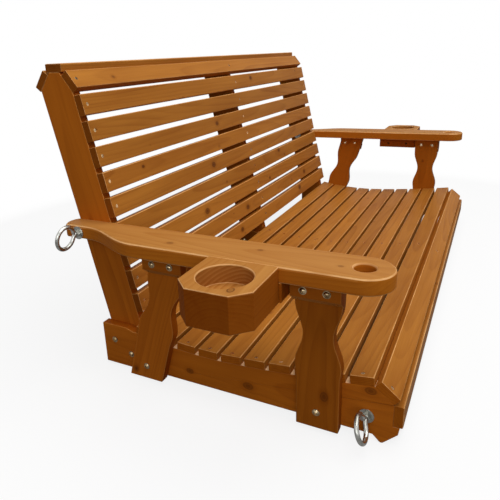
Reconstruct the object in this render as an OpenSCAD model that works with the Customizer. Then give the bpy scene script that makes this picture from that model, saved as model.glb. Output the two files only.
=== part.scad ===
// Roll-back porch swing seat with slatted seat and back, flat arms and two cup holders.
// It hangs from four eye bolts, two through the seat rails and two through the arm tails.
// Lengths are in millimetres. X runs along the slats, Y to the back and Z up.
// Left is the -X side, as seen from the front.
// The pieces are laid out from a datum: the rear edge of the seat at y = 0 and the underside of
// the rails at z = 0. The whole is then set on the floor, centred.

/* [Slats] */
// Length of the seat slats, flush with the outer faces of the side rails
seat_length = 1295; // [1000:5:1700]
// Width of every slat
slat_w = 40; // [33:0.5:49]
// Thickness of every slat
slat_t = 16; // [13:0.5:20]
// Gap between two seat slats, along the seat's curve
seat_gap = 8.1; // [4:0.1:14]
// Gap between two back slats
back_gap = 10.6; // [5:0.1:18]

/* [Seat curve] */
// Height of the lowest point of the seat above the underside of the rails
seat_low = 81.7; // [68:0.1:110]
// Distance from the rear edge of the seat forward to its lowest point
dip_run = 170; // [120:1:220]
// Rise of the seat from its lowest point to its rear edge
rear_rise = 16.3; // [8:0.1:22]
// Rise of the seat from its lowest point to 300 mm further forward
front_rise = 27.2; // [12:0.1:36]
// Slope of the nose slat below level
nose_slope = 40.3; // [30:0.1:50]
// Gap between the last seat slat and the nose slat, at their lower corners
nose_gap = 0.3; // [0.3:0.1:6]

/* [Rails and posts] */
// Thickness of the rails, back supports and posts
frame_t = 20; // [16:0.5:26]
// Length of the rails behind the rear edge of the seat
tail_run = 89.5; // [84:0.5:130]
// Length of the level top of the rail's tail
tail_flat = 59.5; // [30:0.5:70]
// Height of that level top above the first slat's seat on the rail
tail_rise = 5.8; // [1:0.1:12]
// Drop of the rail's underside at the tail
tail_drop = 4.5; // [0:0.1:10]
// Start of the rail's chin behind the fascia
chin_back = 31.5; // [26:0.1:45]
// Height of the upright lip of the chin, below the fascia
lip_h = 15.1; // [8:0.1:20]
// Reach of the chin's ledge under the fascia
ledge = 10.9; // [5:0.1:14]
// Radius of the chin's lowest point
chin_r = 5; // [2:0.1:8]
// Bottom of the posts below the underside of the rails
post_drop = 3.5; // [0:0.1:10]
// Distance of the front posts behind the front edge of the seat
front_post_set = 87.7; // [70:0.1:120]
// Foot of the rear posts ahead of the rear edge of the seat
rear_post_set = 26.6; // [20:0.1:60]
// Forward lean of the rear posts
rear_post_lean = 16.3; // [5:0.1:22]
// Half the width of a post at its foot
post_foot = 37.2; // [30:0.1:45]
// Half the width of a post at its lower swell
post_swell = 39.5; // [34:0.1:48]
// Half the width of a post at its waist
post_waist = 25.7; // [18:0.1:34]
// Half the width of a post at its top
post_top = 40; // [34:0.1:48]
// Length of the straight foot of a post
post_foot_h = 98.5; // [60:0.5:115]
// Height of a post's lower swell
post_swell_h = 121.5; // [118:0.5:140]
// Distance of a post's upper swell below its top
post_head_h = 49.7; // [30:0.5:60]

/* [Back] */
// Lean of the back from upright
back_lean = 12.6; // [6:0.1:20]
// Width of the back supports
support_w = 78; // [66:0.5:96]
// Height of the lowest back slat above the rear edge of the seat
back_rise = 20; // [8:0.5:50]
// Gap between the rear edge of the seat and the back supports
support_gap = 0.5; // [0.3:0.1:5]
// Height of the supports' lower ends above the underside of the rails
support_foot = 10; // [0:0.5:14]
// Slope of the two roll faces at the head, from upright
roll_slope = 37.5; // [25:0.1:45]
// Length of the level top of the head
roll_flat = 25.8; // [20:0.1:40]
// Length of roll face left bare above the top front slat
roll_front_gap = 7.9; // [5:0.1:14]
// Clearance between the cap slat's rear edge and the rear slat
roll_rear_gap = 1.378; // [0.5:0.001:10]
// Part of the top front slat that hangs below its roll face
roll_overhang = 2; // [0:0.1:4]

/* [Arms] */
// Height of the arm tops above the underside of the rails
arm_top = 308.7; // [255:0.1:375]
// Thickness of the arms
arm_t = 27; // [22:0.5:33]
// Width of the arms
arm_w = 90; // [74:0.5:110]
// Width of the arm tails beside the back
tail_w = 42; // [34:0.5:52]
// Length of the curve between an arm and its tail
taper_run = 144; // [80:1:175]
// End of that curve ahead of the back support's middle
taper_set = 8.7; // [0:0.1:30]
// Reach of the arm tails behind the back supports
tail_reach = 11; // [4:0.5:30]
// Radius of the arm tail's end
tail_end_r = 32; // [27:0.5:60]
// Chain hole behind the front edge of the seat
hole_set = 17; // [0:0.5:30]
// Diameter of the chain holes
hole_d = 32; // [26:0.5:40]

/* [Cup holders] */
// Size of a cup block along X
cup_x = 118; // [112:0.5:145]
// Size of a cup block along Y
cup_y = 120.5; // [114:0.5:146]
// Height of a cup block
cup_h = 59.7; // [48:0.1:72]
// Chamfer on its two outboard corners
cup_chamfer = 26; // [0:0.5:30]
// Diameter of the cup recess
cup_d = 85.2; // [70:0.1:103]
// Depth of the cup recess
cup_depth = 31; // [20:0.5:40]
// Radius of the rounded rim
cup_rim = 3; // [1:0.1:4]
// Length of the bearer under the arm, along X
bearer_x = 57.5; // [47:0.5:66]
// Width of that bearer, along Y
bearer_y = 128; // [100:0.5:150]
// Gap between the bearer and the front post or its cleat, whichever reaches further
bearer_gap = 1; // [0.5:0.5:20]

/* [Cleats] */
// Length of the cleats between posts and arms
cleat_w = 82; // [76:0.5:98]
// Thickness of the cleats
cleat_t = 19; // [15:0.5:23]
// Height of a cleat's outer face
cleat_h = 33.2; // [30:0.1:42]
// Further drop of its beveled underside
cleat_bevel = 14.5; // [8:0.1:18]

/* [Hardware] */
// Wire diameter of the eye bolts
wire_d = 8; // [6.5:0.1:9]
// Mean radius of an eye
eye_r = 22.2; // [18:0.1:26]
// Gap between an eye and its outer nut
eye_gap = 0.4; // [0.3:0.1:10]
// Turn of the front eyes from upright
front_eye_turn = -17.5; // [-90:0.5:90]
// Turn of the rear eyes from upright
rear_eye_turn = 10; // [-90:0.5:90]
// Height of the front eye bolts above the underside of the rails
front_eye_h = 34; // [26:0.1:45]
// Distance of the front eye bolts behind the front edge of the seat
front_eye_set = 9.4; // [0:0.1:20]
// Depth of the rear eye bolts below the arm tops
rear_eye_depth = 15; // [13:0.1:16]
// Distance of the rear eye bolts behind the middle of the back supports
rear_eye_set = 11.7; // [0:0.1:14]
// Diameter of the washers
washer_d = 26; // [20:0.5:32]
// Width of the hexagon nuts across their flats
nut_af = 13; // [12:0.1:16]
// Thickness of the hexagon nuts
nut_h = 6.5; // [5:0.1:8]
// Diameter of the frame bolts
bolt_d = 6; // [5:0.1:7]
// Diameter of the flange under the bolt heads
flange_d = 13; // [11.5:0.5:16]
// Diameter of the cap nuts
cap_d = 10.5; // [10:0.5:13]
// Wood left beyond the tips of the lag bolts that hold the back supports
lag_cover = 6; // [3:0.5:10]
// Diameter of the screws
screw_d = 3.8; // [3:0.1:4.6]
// Diameter of the screw heads
screw_head_d = 7; // [6:0.1:8.4]
// Length of the slat screws
screw_len = 40; // [33:0.5:48]

/* [Hidden] */
seat_count = 10;
back_count = 10;
// The seat's rise ahead of its lowest point follows this power of the distance
front_power = 1.5;
front_run = 300;
// Step from the first slat up to the rail's level tail, and the slope under the tail
tail_step_run = 8;
tail_step_drop = 0.7;
keel_set = 70;
keel_run = 74.5;
lip_draft = 2.3;
// Start of the roll face above the second back slat
roll_start = 7.5;
// Clearance around bolts, around screws, and where two pieces meet at a corner
bolt_fit = 0.25;
screw_fit = 0.1;
corner_fit = 0.4;
// Distance of the outer back screws from the slat ends
back_screw_set = 13.5;
// Places of the two lag bolts of each support, and the heights and shifts of the post bolts
low_bolt = [20.6, 28.5];
high_bolt = [60.3, 54.1];
rear_bolt_h = 26.3;
front_bolt_h = 29;
rear_bolt_shift = 3;
front_bolt_shift = 1;
// Middle of the rear cleats behind the middle of the rear posts' tops
rear_cleat_shift = 10;
cleat_bolt_depth = 20.7;
cleat_bolt_set = 19;
cleat_screw_set = 32;
arm_screw_len = 50;
// Bearer screws into the arm from the bearer's ends, and the cup screws well inside them
bearer_screw_inset = 19;
cup_screw_spacing = 13;
cup_screw_drop = 2;
cup_screw_len = 60;
washer_t = 2;
thread_out = 3;
// Heads of bolts, cap nuts and screws
flange_t = 1.4;
head_rim = 1.25;
dome_h = 3.2;
socket_d = 4.6;
socket_depth = 2.2;
cap_rim = 0.75;
lag_tip = 5;
sink = 0.6;
recess_depth_share = 0.8;
recess_width_share = 0.4;
// Steps of the posts' and arms' curves, and how much longer a post is drawn before it is cut
foot_steps = 4;
waist_steps = 8;
taper_steps = 12;
post_spare = 30;
post_room = 200;
// Inset of a post's upper swell from its top
neck_set = 1;
// How far a cut runs past the faces it opens, and how far joined shapes overlap
past = 1;
eps = 0.01;
round_fn = 48;
large_fn = 96;

wood_top = [0.73, 0.50, 0.25];
wood_back = [0.63, 0.38, 0.14];
wood_side = [0.50, 0.29, 0.11];
steel = [0.78, 0.79, 0.80];

// Layout along X, for the right side
side_out = seat_length / 2;
side_in = side_out - frame_t;
support_in = side_in - frame_t;
post_out = side_out + frame_t;
cleat_out = post_out + cleat_t;
arm_out = side_in + arm_w;
arm_mid = side_in + arm_w / 2;

// Lengths that follow from the pieces they pass through or stand on
lag_len = 2 * frame_t - lag_cover;
eye_reach = washer_t + nut_h + eye_gap + eye_r + wire_d / 2;

// A board section: rear top corner, slope towards the front (positive is downhill), width
function run_dir(slope) = [-cos(slope), -sin(slope)];
function under_dir(slope) = [sin(slope), -cos(slope)];
function board(rear_top, slope, w, t) = [
    rear_top,
    rear_top + w * run_dir(slope),
    rear_top + w * run_dir(slope) + t * under_dir(slope),
    rear_top + t * under_dir(slope)
];

// The seat's curve and the slats along it
function seat_z(y) = y > -dip_run
    ? seat_low + rear_rise * pow((y + dip_run) / dip_run, 2)
    : seat_low + front_rise * pow((-dip_run - y) / front_run, front_power);
function seat_grade(y) = y > -dip_run
    ? 2 * rear_rise * (y + dip_run) / pow(dip_run, 2)
    : -front_power * front_rise / front_run * pow((-dip_run - y) / front_run, front_power - 1);
function seat_slope(y) = atan(seat_grade(y));
function slat_y(i) = i == 0
    ? 0
    : slat_y(i - 1) - (slat_w + seat_gap) * cos(seat_slope(slat_y(i - 1) - slat_w / 2));
function seat_slope_at(i) = seat_slope(slat_y(i) - slat_w / 2);
function seat_board(i) =
    board([slat_y(i), seat_z(slat_y(i))], seat_slope_at(i), slat_w, slat_t);

seat_boards = [for (i = [0 : seat_count - 1]) seat_board(i)];
seat_rear_z = seat_boards[0][0].y;
seat_front = seat_boards[seat_count - 1][1];
seat_heel = seat_boards[0][3];
nose_heel = seat_boards[seat_count - 1][2] - [nose_gap, corner_fit];
nose_board = board(nose_heel - slat_t * under_dir(nose_slope), nose_slope, slat_w, slat_t);
nose_toe = nose_board[2];
fascia_rear = nose_toe.x - corner_fit;
fascia_top = nose_toe.y - corner_fit;
fascia_front = fascia_rear - slat_t;
ledge_z = fascia_top - slat_w;

// The chin is a square corner standing on its point, rounded at the bottom
chin_start = fascia_rear + chin_back;
chin_lip = [fascia_rear - ledge + lip_draft, ledge_z - lip_h];
chin_point_y = (chin_start + chin_lip.x + chin_lip.y) / 2;
chin_centre = [chin_point_y, chin_point_y - chin_start + chin_r * sqrt(2)];

tail_top = seat_heel.y + tail_rise;
tail_step = seat_heel + [tail_step_run, -tail_step_drop];
rail_outline = concat(
    [[tail_run, tail_top], [tail_run - tail_flat, tail_top], tail_step],
    [for (b = seat_boards) for (k = [3, 2]) b[k]],
    [nose_board[3], nose_toe, [fascia_rear, fascia_top]],
    [[fascia_rear, ledge_z], [fascia_rear - ledge, ledge_z], chin_lip],
    [for (a = [-135 : 15 : -45]) chin_centre + chin_r * [cos(a), sin(a)]],
    [[chin_start, 0], [-keel_set, 0], [tail_run - keel_run, -tail_drop], [tail_run, -tail_drop]]
);

// The back's own directions: u up along the supports, v to the rear, from the datum plane
back_foot_y = seat_heel.x + support_gap - seat_heel.y * tan(back_lean);
function back_at(u, v) =
    [back_foot_y + u * sin(back_lean) + v * cos(back_lean), u * cos(back_lean) - v * sin(back_lean)];
back_pitch = slat_w + back_gap;
back_first_u = (seat_rear_z + back_rise) / cos(back_lean);
// Slats are numbered from the top; number 1 lies on the roll face
function back_top_u(n) = back_first_u + slat_w + (back_count - n) * back_pitch;
roll_base = back_at(back_top_u(2) + roll_start, 0);
roll_len = slat_w - roll_overhang + roll_front_gap;
head_front = roll_base + roll_len * [sin(roll_slope), cos(roll_slope)];
head_rear = head_front + [roll_flat, 0];
rear_edge_y = back_foot_y + support_w / cos(back_lean);
rear_roll_len = (rear_edge_y + head_rear.y * tan(back_lean) - head_rear.x)
    / (sin(roll_slope) + cos(roll_slope) * tan(back_lean));
head_low = head_rear + rear_roll_len * [sin(roll_slope), -cos(roll_slope)];
function support_front_y(z) = back_foot_y + z * tan(back_lean);
function support_rear_y(z) = rear_edge_y + z * tan(back_lean);
function support_mid_y(z) = (support_front_y(z) + support_rear_y(z)) / 2;
support_outline = [
    [support_front_y(support_foot), support_foot],
    roll_base,
    head_front,
    head_rear,
    head_low,
    [support_rear_y(support_foot), support_foot]
];
roll_heel = roll_base - roll_overhang * [sin(roll_slope), cos(roll_slope)];
cap_rear = (head_front.x + head_rear.x + slat_w) / 2;
// The rear slat starts clear of the cap slat's rear edge
cap_reach = (cap_rear - head_rear.x) * sin(roll_slope);
rear_heel = head_rear + (cap_reach + roll_rear_gap) * [sin(roll_slope), -cos(roll_slope)];

// The back's boards, each with its screwed face outside: front slats, cap and rear slat
function back_slope(n) = 90 - (n == 1 ? roll_slope : back_lean);
function back_corner(n) = n == 1
    ? roll_heel + slat_w * [sin(roll_slope), cos(roll_slope)]
    : back_at(back_top_u(n), 0);
function back_board(n) =
    board(back_corner(n) - slat_t * under_dir(back_slope(n)), back_slope(n), slat_w, slat_t);
cap_board = board([cap_rear, head_front.y + slat_t], 0, slat_w, slat_t);
rear_slope = roll_slope - 90;
rear_slat_heel = rear_heel + slat_w * [sin(roll_slope), -cos(roll_slope)];
rear_board = board(rear_slat_heel - slat_t * under_dir(rear_slope), rear_slope, slat_w, slat_t);

// Posts, arms and what they carry
arm_under = arm_top - arm_t;
arm_axis_z = arm_top - rear_eye_depth;
front_post_y = seat_front.x + front_post_set;
rear_post_y = -rear_post_set;
post_h = arm_under + post_drop;
rear_head_y = rear_post_y - post_h * tan(rear_post_lean);
rear_cleat_y = rear_head_y + rear_cleat_shift;
hole_y = seat_front.x + hole_set;
back_mid_y = support_mid_y(arm_axis_z);
taper_rear = back_mid_y - taper_set;
taper_front = taper_rear - taper_run;
tail_end_y = support_rear_y(arm_axis_z) + tail_reach;
bearer_mid_y = front_post_y + max(post_top, cleat_w / 2) + bearer_gap + bearer_y / 2;
cup_centre = [arm_out + cup_x / 2, bearer_mid_y];
bearer_z = arm_top - cup_h;
bearer_screw_y = bearer_y / 2 - bearer_screw_inset;
cup_screw_y = bearer_screw_y - cup_screw_spacing;
front_eye_y = seat_front.x + front_eye_set;
rear_eye_y = back_mid_y + rear_eye_set;

// Where the whole stands: lowest, foremost and rearmost points of all pieces
low_z = min(chin_centre.y - chin_r, -tail_drop, -post_drop);
front_y = min(fascia_front, hole_y - arm_w / 2);
rear_y = max(rear_board[0].x, tail_end_y);
shift = [0, -(front_y + rear_y) / 2, -low_z];

function two_digits(n) = str(n < 10 ? "0" : "", n);
function back_name(n) = str("back_slat_", two_digits(n));
function seat_name(n) = str("seat_slat_", two_digits(n));

// ---- Placing helpers

module left() {
    mirror([1, 0, 0])
        children();
}

module both_sides() {
    children();
    left()
        children();
}

module placed() {
    translate(shift)
        children();
}

// Extrudes a (y, z) outline along X
module along_x(x0, x1) {
    translate([x0, 0, 0])
        rotate([90, 0, 90])
            linear_extrude(height = x1 - x0)
                children();
}

// Stands a Z-up child on the point (x, y, z), pointing outward along X
module facing_out(x, yz) {
    translate([x, yz.x, yz.y])
        rotate([0, 90, 0])
            children();
}

module facing_in(x, yz) {
    translate([x, yz.x, yz.y])
        rotate([0, -90, 0])
            children();
}

// Sets a Z-up child on the middle of a board's outer face, Z pointing out of the wood
module on_board(x, corners, slope) {
    middle = (corners[0] + corners[1]) / 2;
    translate([x, middle.x, middle.y])
        rotate([slope, 0, 0])
            children();
}

// ---- Fasteners, drawn with their seat at z = 0 and their shank below it

module screw(len) {
    head_h = (screw_head_d - screw_d) / 2;
    color(steel)
        difference() {
            union() {
                translate([0, 0, -sink - head_h])
                    cylinder(d1 = screw_d, d2 = screw_head_d, h = head_h, $fn = round_fn);
                translate([0, 0, -len])
                    cylinder(d = screw_d, h = len - sink - head_h + eps, $fn = round_fn);
            }
            translate([0, 0, -sink - head_h * recess_depth_share])
                cylinder(d = screw_head_d * recess_width_share, h = head_h, $fn = 6);
        }
}

module screw_hole(len) {
    head_h = (screw_head_d - screw_d) / 2;
    translate([0, 0, -sink - eps])
        cylinder(d = screw_head_d, h = sink + past, $fn = round_fn);
    translate([0, 0, -sink - head_h])
        cylinder(d1 = screw_d, d2 = screw_head_d, h = head_h, $fn = round_fn);
    translate([0, 0, -len])
        cylinder(d = screw_d + 2 * screw_fit, h = len - sink, $fn = round_fn);
}

module dome(d, h) {
    r = (d * d / 4 + h * h) / (2 * h);
    rotate_extrude($fn = round_fn)
        intersection() {
            translate([0, h - r])
                circle(r = r, $fn = large_fn);
            square([d / 2, h]);
        }
}

// Flanged dome head with a hexagon socket, on a straight shank
module headed_shank(len) {
    difference() {
        union() {
            cylinder(d = flange_d, h = flange_t, $fn = round_fn);
            translate([0, 0, flange_t - eps])
                dome(flange_d - 2 * head_rim, dome_h);
            translate([0, 0, -len])
                cylinder(d = bolt_d, h = len + eps, $fn = round_fn);
        }
        translate([0, 0, flange_t + dome_h - socket_depth])
            cylinder(d = socket_d, h = socket_depth + past, $fn = 6);
    }
}

// Bolt through `grip` of wood and into its cap nut
module bolt(grip) {
    color(steel)
        headed_shank(grip + flange_t);
}

// Bolt with a pointed end that stays inside the wood
module lag_bolt() {
    color(steel)
        union() {
            headed_shank(lag_len - lag_tip);
            translate([0, 0, -lag_len])
                cylinder(d1 = screw_fit, d2 = bolt_d, h = lag_tip + eps, $fn = round_fn);
        }
}

module cap_nut() {
    color(steel)
        difference() {
            union() {
                cylinder(d = cap_d, h = flange_t, $fn = round_fn);
                translate([0, 0, flange_t - eps])
                    dome(cap_d - 2 * cap_rim, dome_h);
            }
            translate([0, 0, -past])
                cylinder(d = bolt_d + 2 * screw_fit, h = past + flange_t + screw_fit, $fn = round_fn);
        }
}

module bolt_hole(grip) {
    translate([0, 0, -grip - past])
        cylinder(d = bolt_d + 2 * bolt_fit, h = grip + 2 * past, $fn = round_fn);
}

// ---- Where the bolts and screws go, each drawing its children there

module at_side_lags() {
    for (p = [low_bolt, high_bolt])
        facing_out(side_out, p)
            children();
}

module at_centre_lags() {
    for (p = [low_bolt, high_bolt])
        facing_in(0, p)
            children();
}

module at_post_bolts() {
    lean_shift = (rear_bolt_h + post_drop) * tan(rear_post_lean);
    facing_out(post_out, [rear_post_y - lean_shift + rear_bolt_shift, rear_bolt_h])
        children();
    facing_out(post_out, [front_post_y + front_bolt_shift, front_bolt_h])
        children();
}

module at_cleat_bolts() {
    for (y = [front_post_y, rear_cleat_y])
        for (s = [-1, 1])
            facing_out(cleat_out, [y + s * cleat_bolt_set, arm_under - cleat_bolt_depth])
                children();
}

// Screws up through the cleats and the bearer into the arm, heads in their undersides
module at_arm_screws() {
    for (y = [front_post_y, rear_cleat_y])
        for (s = [-1, 1])
            translate([post_out + cleat_t / 2, y + s * cleat_screw_set, arm_under - cleat_h])
                rotate([180, 0, 0])
                    children();
    for (s = [-1, 1])
        translate([arm_out - bearer_x / 2, bearer_mid_y + s * bearer_screw_y, bearer_z])
            rotate([180, 0, 0])
                children();
}

module at_cup_screws() {
    for (s = [-1, 1])
        facing_in(arm_out - cup_screw_len / 2, [bearer_mid_y + s * cup_screw_y,
            (bearer_z + arm_under) / 2 - cup_screw_drop])
            children();
}

module at_rail_screws(x) {
    for (i = [0 : seat_count - 1])
        on_board(x, seat_boards[i], seat_slope_at(i))
            children();
    on_board(x, nose_board, nose_slope)
        children();
    translate([x, fascia_front, fascia_top - slat_w / 2])
        rotate([90, 0, 0])
            children();
}

module at_support_screws(x) {
    for (n = [1 : back_count])
        on_board(x, back_board(n), back_slope(n))
            children();
    on_board(x, cap_board, 0)
        children();
    on_board(x, rear_board, rear_slope)
        children();
}

seat_screw_x = [side_out - frame_t / 2, frame_t / 2, frame_t / 2 - side_out];
back_screw_x = [side_in - back_screw_set, frame_t * 1.5, back_screw_set - side_in];

// ---- Seat frame

module rail_blank(x0) {
    along_x(x0, x0 + frame_t)
        polygon(rail_outline);
}

module side_rail() {
    color(wood_side)
        difference() {
            rail_blank(side_in);
            at_rail_screws(seat_screw_x[0])
                screw_hole(screw_len);
            at_side_lags()
                bolt_hole(lag_len);
            at_post_bolts()
                bolt_hole(2 * frame_t);
            facing_out(side_out, [front_eye_y, front_eye_h])
                wire_hole(frame_t);
        }
}

module centre_rail() {
    color(wood_side)
        difference() {
            rail_blank(0);
            at_rail_screws(seat_screw_x[1])
                screw_hole(screw_len);
            at_centre_lags()
                bolt_hole(lag_len);
        }
}

// ---- Back supports

module side_support() {
    color(wood_side)
        difference() {
            along_x(support_in, side_in)
                polygon(support_outline);
            at_support_screws(back_screw_x[0])
                screw_hole(screw_len);
            at_side_lags()
                bolt_hole(lag_len);
            facing_out(side_in, [rear_eye_y, arm_axis_z])
                wire_hole(frame_t);
        }
}

module centre_support() {
    color(wood_side)
        difference() {
            along_x(frame_t, 2 * frame_t)
                polygon(support_outline);
            at_support_screws(back_screw_x[1])
                screw_hole(screw_len);
            at_centre_lags()
                bolt_hole(lag_len);
        }
}

// ---- Slats

module seat_board_cut(corners, slope) {
    difference() {
        along_x(-side_out, side_out)
            polygon(corners);
        for (x = seat_screw_x)
            on_board(x, corners, slope)
                screw_hole(screw_len);
    }
}

module back_board_cut(corners, slope) {
    difference() {
        along_x(-side_in, side_in)
            polygon(corners);
        for (x = back_screw_x)
            on_board(x, corners, slope)
                screw_hole(screw_len);
    }
}

module seat_slat(n) {
    color(wood_top)
        seat_board_cut(seat_boards[n - 1], seat_slope_at(n - 1));
}

module nose_slat() {
    color(wood_top)
        seat_board_cut(nose_board, nose_slope);
}

module fascia() {
    color(wood_back)
        difference() {
            translate([-side_out, fascia_front, ledge_z])
                cube([seat_length, slat_t, slat_w]);
            for (x = seat_screw_x)
                translate([x, fascia_front, fascia_top - slat_w / 2])
                    rotate([90, 0, 0])
                        screw_hole(screw_len);
        }
}

module back_slat(n) {
    color(wood_back)
        back_board_cut(back_board(n), back_slope(n));
}

module cap_slat() {
    color(wood_top)
        back_board_cut(cap_board, 0);
}

module rear_slat() {
    color(wood_back)
        back_board_cut(rear_board, rear_slope);
}

// ---- Posts and cleats

function ease(a, b, t) = a + (b - a) * (1 - cos(180 * t)) / 2;
function swell(h0, w0, h1, w1, steps) =
    [for (k = [1 : steps]) [ease(w0, w1, k / steps), h0 + (h1 - h0) * k / steps]];

// Half outline of a post, from its foot to its top, a little longer at both ends
post_waist_h = (post_swell_h + post_h - post_head_h) / 2;
post_edge = concat(
    [[post_foot, -post_spare], [post_foot, post_foot_h]],
    swell(post_foot_h, post_foot, post_swell_h, post_swell, foot_steps),
    swell(post_swell_h, post_swell, post_waist_h, post_waist, waist_steps),
    swell(post_waist_h, post_waist, post_h - post_head_h, post_top - neck_set, waist_steps),
    [[post_top, post_h], [post_top, post_h + post_spare]]
);
post_outline = concat(post_edge,
    [for (k = [len(post_edge) - 1 : -1 : 0]) [-post_edge[k].x, post_edge[k].y]]);

// A post's foot stands at y; lean turns its top towards the front
module post(y, lean) {
    color(wood_side)
        difference() {
            intersection() {
                translate([0, y, -post_drop])
                    rotate([lean, 0, 0])
                        along_x(side_out, post_out)
                            polygon(post_outline);
                translate([side_out - past, y - post_room, -post_drop])
                    cube([frame_t + 2 * past, 2 * post_room, post_h]);
            }
            at_post_bolts()
                bolt_hole(frame_t);
            at_cleat_bolts()
                bolt_hole(cleat_t + frame_t);
        }
}

module cleat(y) {
    color(wood_side)
        difference() {
            translate([post_out, y - cleat_w / 2, arm_under])
                rotate([-90, 0, 0])
                    linear_extrude(height = cleat_w)
                        polygon([[0, 0], [cleat_t, 0], [cleat_t, cleat_h], [0, cleat_h + cleat_bevel]]);
            at_cleat_bolts()
                bolt_hole(cleat_t);
            at_arm_screws()
                arm_screw_hole();
        }
}

module arm_screw_hole() {
    screw_hole(arm_screw_len);
    cylinder(d = screw_head_d + 2 * screw_fit, h = cleat_bevel, $fn = round_fn);
}

// ---- Arms

// Arm seen from above: round front, straight sides, a curve in to the narrow tail
module arm_outline() {
    tail_mid = side_in + tail_w / 2;
    translate([arm_mid, hole_y])
        circle(d = arm_w, $fn = large_fn);
    polygon(concat(
        [[side_in, hole_y], [arm_out, hole_y]],
        [for (t = [0 : 1 / taper_steps : 1 + eps])
            [ease(arm_out, side_in + tail_w, min(t, 1)), taper_front + taper_run * min(t, 1)]],
        [[side_in + tail_w, tail_end_y - tail_end_r], [side_in, tail_end_y - tail_end_r]]
    ));
    intersection() {
        translate([tail_mid, tail_end_y - tail_end_r])
            circle(r = tail_end_r, $fn = large_fn);
        translate([side_in, tail_end_y - tail_end_r - past])
            square([tail_w, tail_end_r + 2 * past]);
    }
}

module arm() {
    color(wood_top)
        difference() {
            translate([0, 0, arm_under])
                linear_extrude(height = arm_t)
                    arm_outline();
            translate([arm_mid, hole_y, arm_under - past])
                cylinder(d = hole_d, h = arm_t + 2 * past, $fn = large_fn);
            facing_out(side_in + tail_w, [rear_eye_y, arm_axis_z])
                wire_hole(tail_w);
            at_arm_screws()
                arm_screw_hole();
        }
}

// ---- Cup holders

module cup_bearer() {
    color(wood_side)
        difference() {
            translate([arm_out - bearer_x, bearer_mid_y - bearer_y / 2, bearer_z])
                cube([bearer_x, bearer_y, arm_under - bearer_z]);
            at_arm_screws()
                arm_screw_hole();
            at_cup_screws()
                cup_screw_hole();
        }
}

module cup_screw_hole() {
    screw_hole(cup_screw_len);
    cylinder(d = screw_head_d + 2 * screw_fit, h = bearer_x, $fn = round_fn);
}

module cup_block_outline() {
    half = cup_y / 2;
    translate([arm_out, bearer_mid_y])
        polygon([
            [0, -half],
            [cup_x - cup_chamfer, -half],
            [cup_x, cup_chamfer - half],
            [cup_x, half - cup_chamfer],
            [cup_x - cup_chamfer, half],
            [0, half]
        ]);
}

module cup_recess() {
    cylinder(d = cup_d, h = cup_depth + past, $fn = large_fn);
    translate([0, 0, cup_depth - cup_rim])
        rotate_extrude($fn = large_fn)
            difference() {
                square([cup_d / 2 + cup_rim, cup_rim + past]);
                translate([cup_d / 2 + cup_rim, 0])
                    circle(r = cup_rim, $fn = round_fn);
            }
}

module cup_block() {
    color(wood_top)
        difference() {
            translate([0, 0, bearer_z])
                linear_extrude(height = cup_h)
                    cup_block_outline();
            translate([cup_centre.x, cup_centre.y, arm_top - cup_depth])
                cup_recess();
            at_cup_screws()
                cup_screw_hole();
        }
}

// ---- Eye bolts, with their wood face at z = 0 and the eye above it

module wire_hole(grip) {
    translate([0, 0, -grip - past])
        cylinder(d = wire_d + 2 * bolt_fit, h = grip + 2 * past, $fn = round_fn);
}

module eye_bolt(grip, turn) {
    tail = washer_t + nut_h + thread_out;
    color(steel)
        rotate([0, 0, turn])
            union() {
                translate([0, 0, eye_reach])
                    rotate([90, 0, 0])
                        rotate_extrude($fn = large_fn)
                            translate([eye_r, 0])
                                circle(d = wire_d, $fn = round_fn);
                translate([0, 0, -grip - tail])
                    cylinder(d = wire_d, h = grip + tail + eye_reach - eye_r, $fn = round_fn);
            }
}

module washer() {
    color(steel)
        difference() {
            cylinder(d = washer_d, h = washer_t, $fn = round_fn);
            translate([0, 0, -past])
                cylinder(d = wire_d + 2 * bolt_fit, h = washer_t + 2 * past, $fn = round_fn);
        }
}

module hex_nut() {
    color(steel)
        translate([0, 0, washer_t])
            difference() {
                cylinder(d = nut_af / cos(30), h = nut_h, $fn = 6);
                translate([0, 0, -past])
                    cylinder(d = wire_d + 2 * screw_fit, h = nut_h + 2 * past, $fn = round_fn);
            }
}

front_eye = [front_eye_y, front_eye_h];
rear_eye = [rear_eye_y, arm_axis_z];

module front_eye_bolt() {
    facing_out(side_out, front_eye)
        eye_bolt(frame_t, front_eye_turn);
}

module rear_eye_bolt() {
    facing_out(side_in + tail_w, rear_eye)
        eye_bolt(tail_w + frame_t, rear_eye_turn);
}

// Draws its children on both wood faces of each of the four eye bolts
module at_eye_faces() {
    both_sides() {
        facing_out(side_out, front_eye)
            children();
        facing_in(side_in, front_eye)
            children();
        facing_out(side_in + tail_w, rear_eye)
            children();
        facing_in(support_in, rear_eye)
            children();
    }
}

// ---- Fastener groups

module support_bolts() {
    both_sides()
        at_side_lags()
            lag_bolt();
    at_centre_lags()
        lag_bolt();
}

module post_bolts() {
    both_sides()
        at_post_bolts()
            bolt(2 * frame_t);
}

module cleat_bolts() {
    both_sides()
        at_cleat_bolts()
            bolt(cleat_t + frame_t);
}

module on_far_side(grip) {
    translate([0, 0, -grip])
        rotate([180, 0, 0])
            cap_nut();
}

module frame_nuts() {
    both_sides() {
        at_post_bolts()
            on_far_side(2 * frame_t);
        at_cleat_bolts()
            on_far_side(cleat_t + frame_t);
    }
}

module seat_screws() {
    for (x = seat_screw_x)
        at_rail_screws(x)
            screw(screw_len);
}

module back_screws() {
    for (x = back_screw_x)
        at_support_screws(x)
            screw(screw_len);
}

module arm_screws() {
    both_sides()
        at_arm_screws()
            screw(arm_screw_len);
}

module cup_screws() {
    both_sides()
        at_cup_screws()
            screw(cup_screw_len);
}

// ---- The assembly

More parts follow.
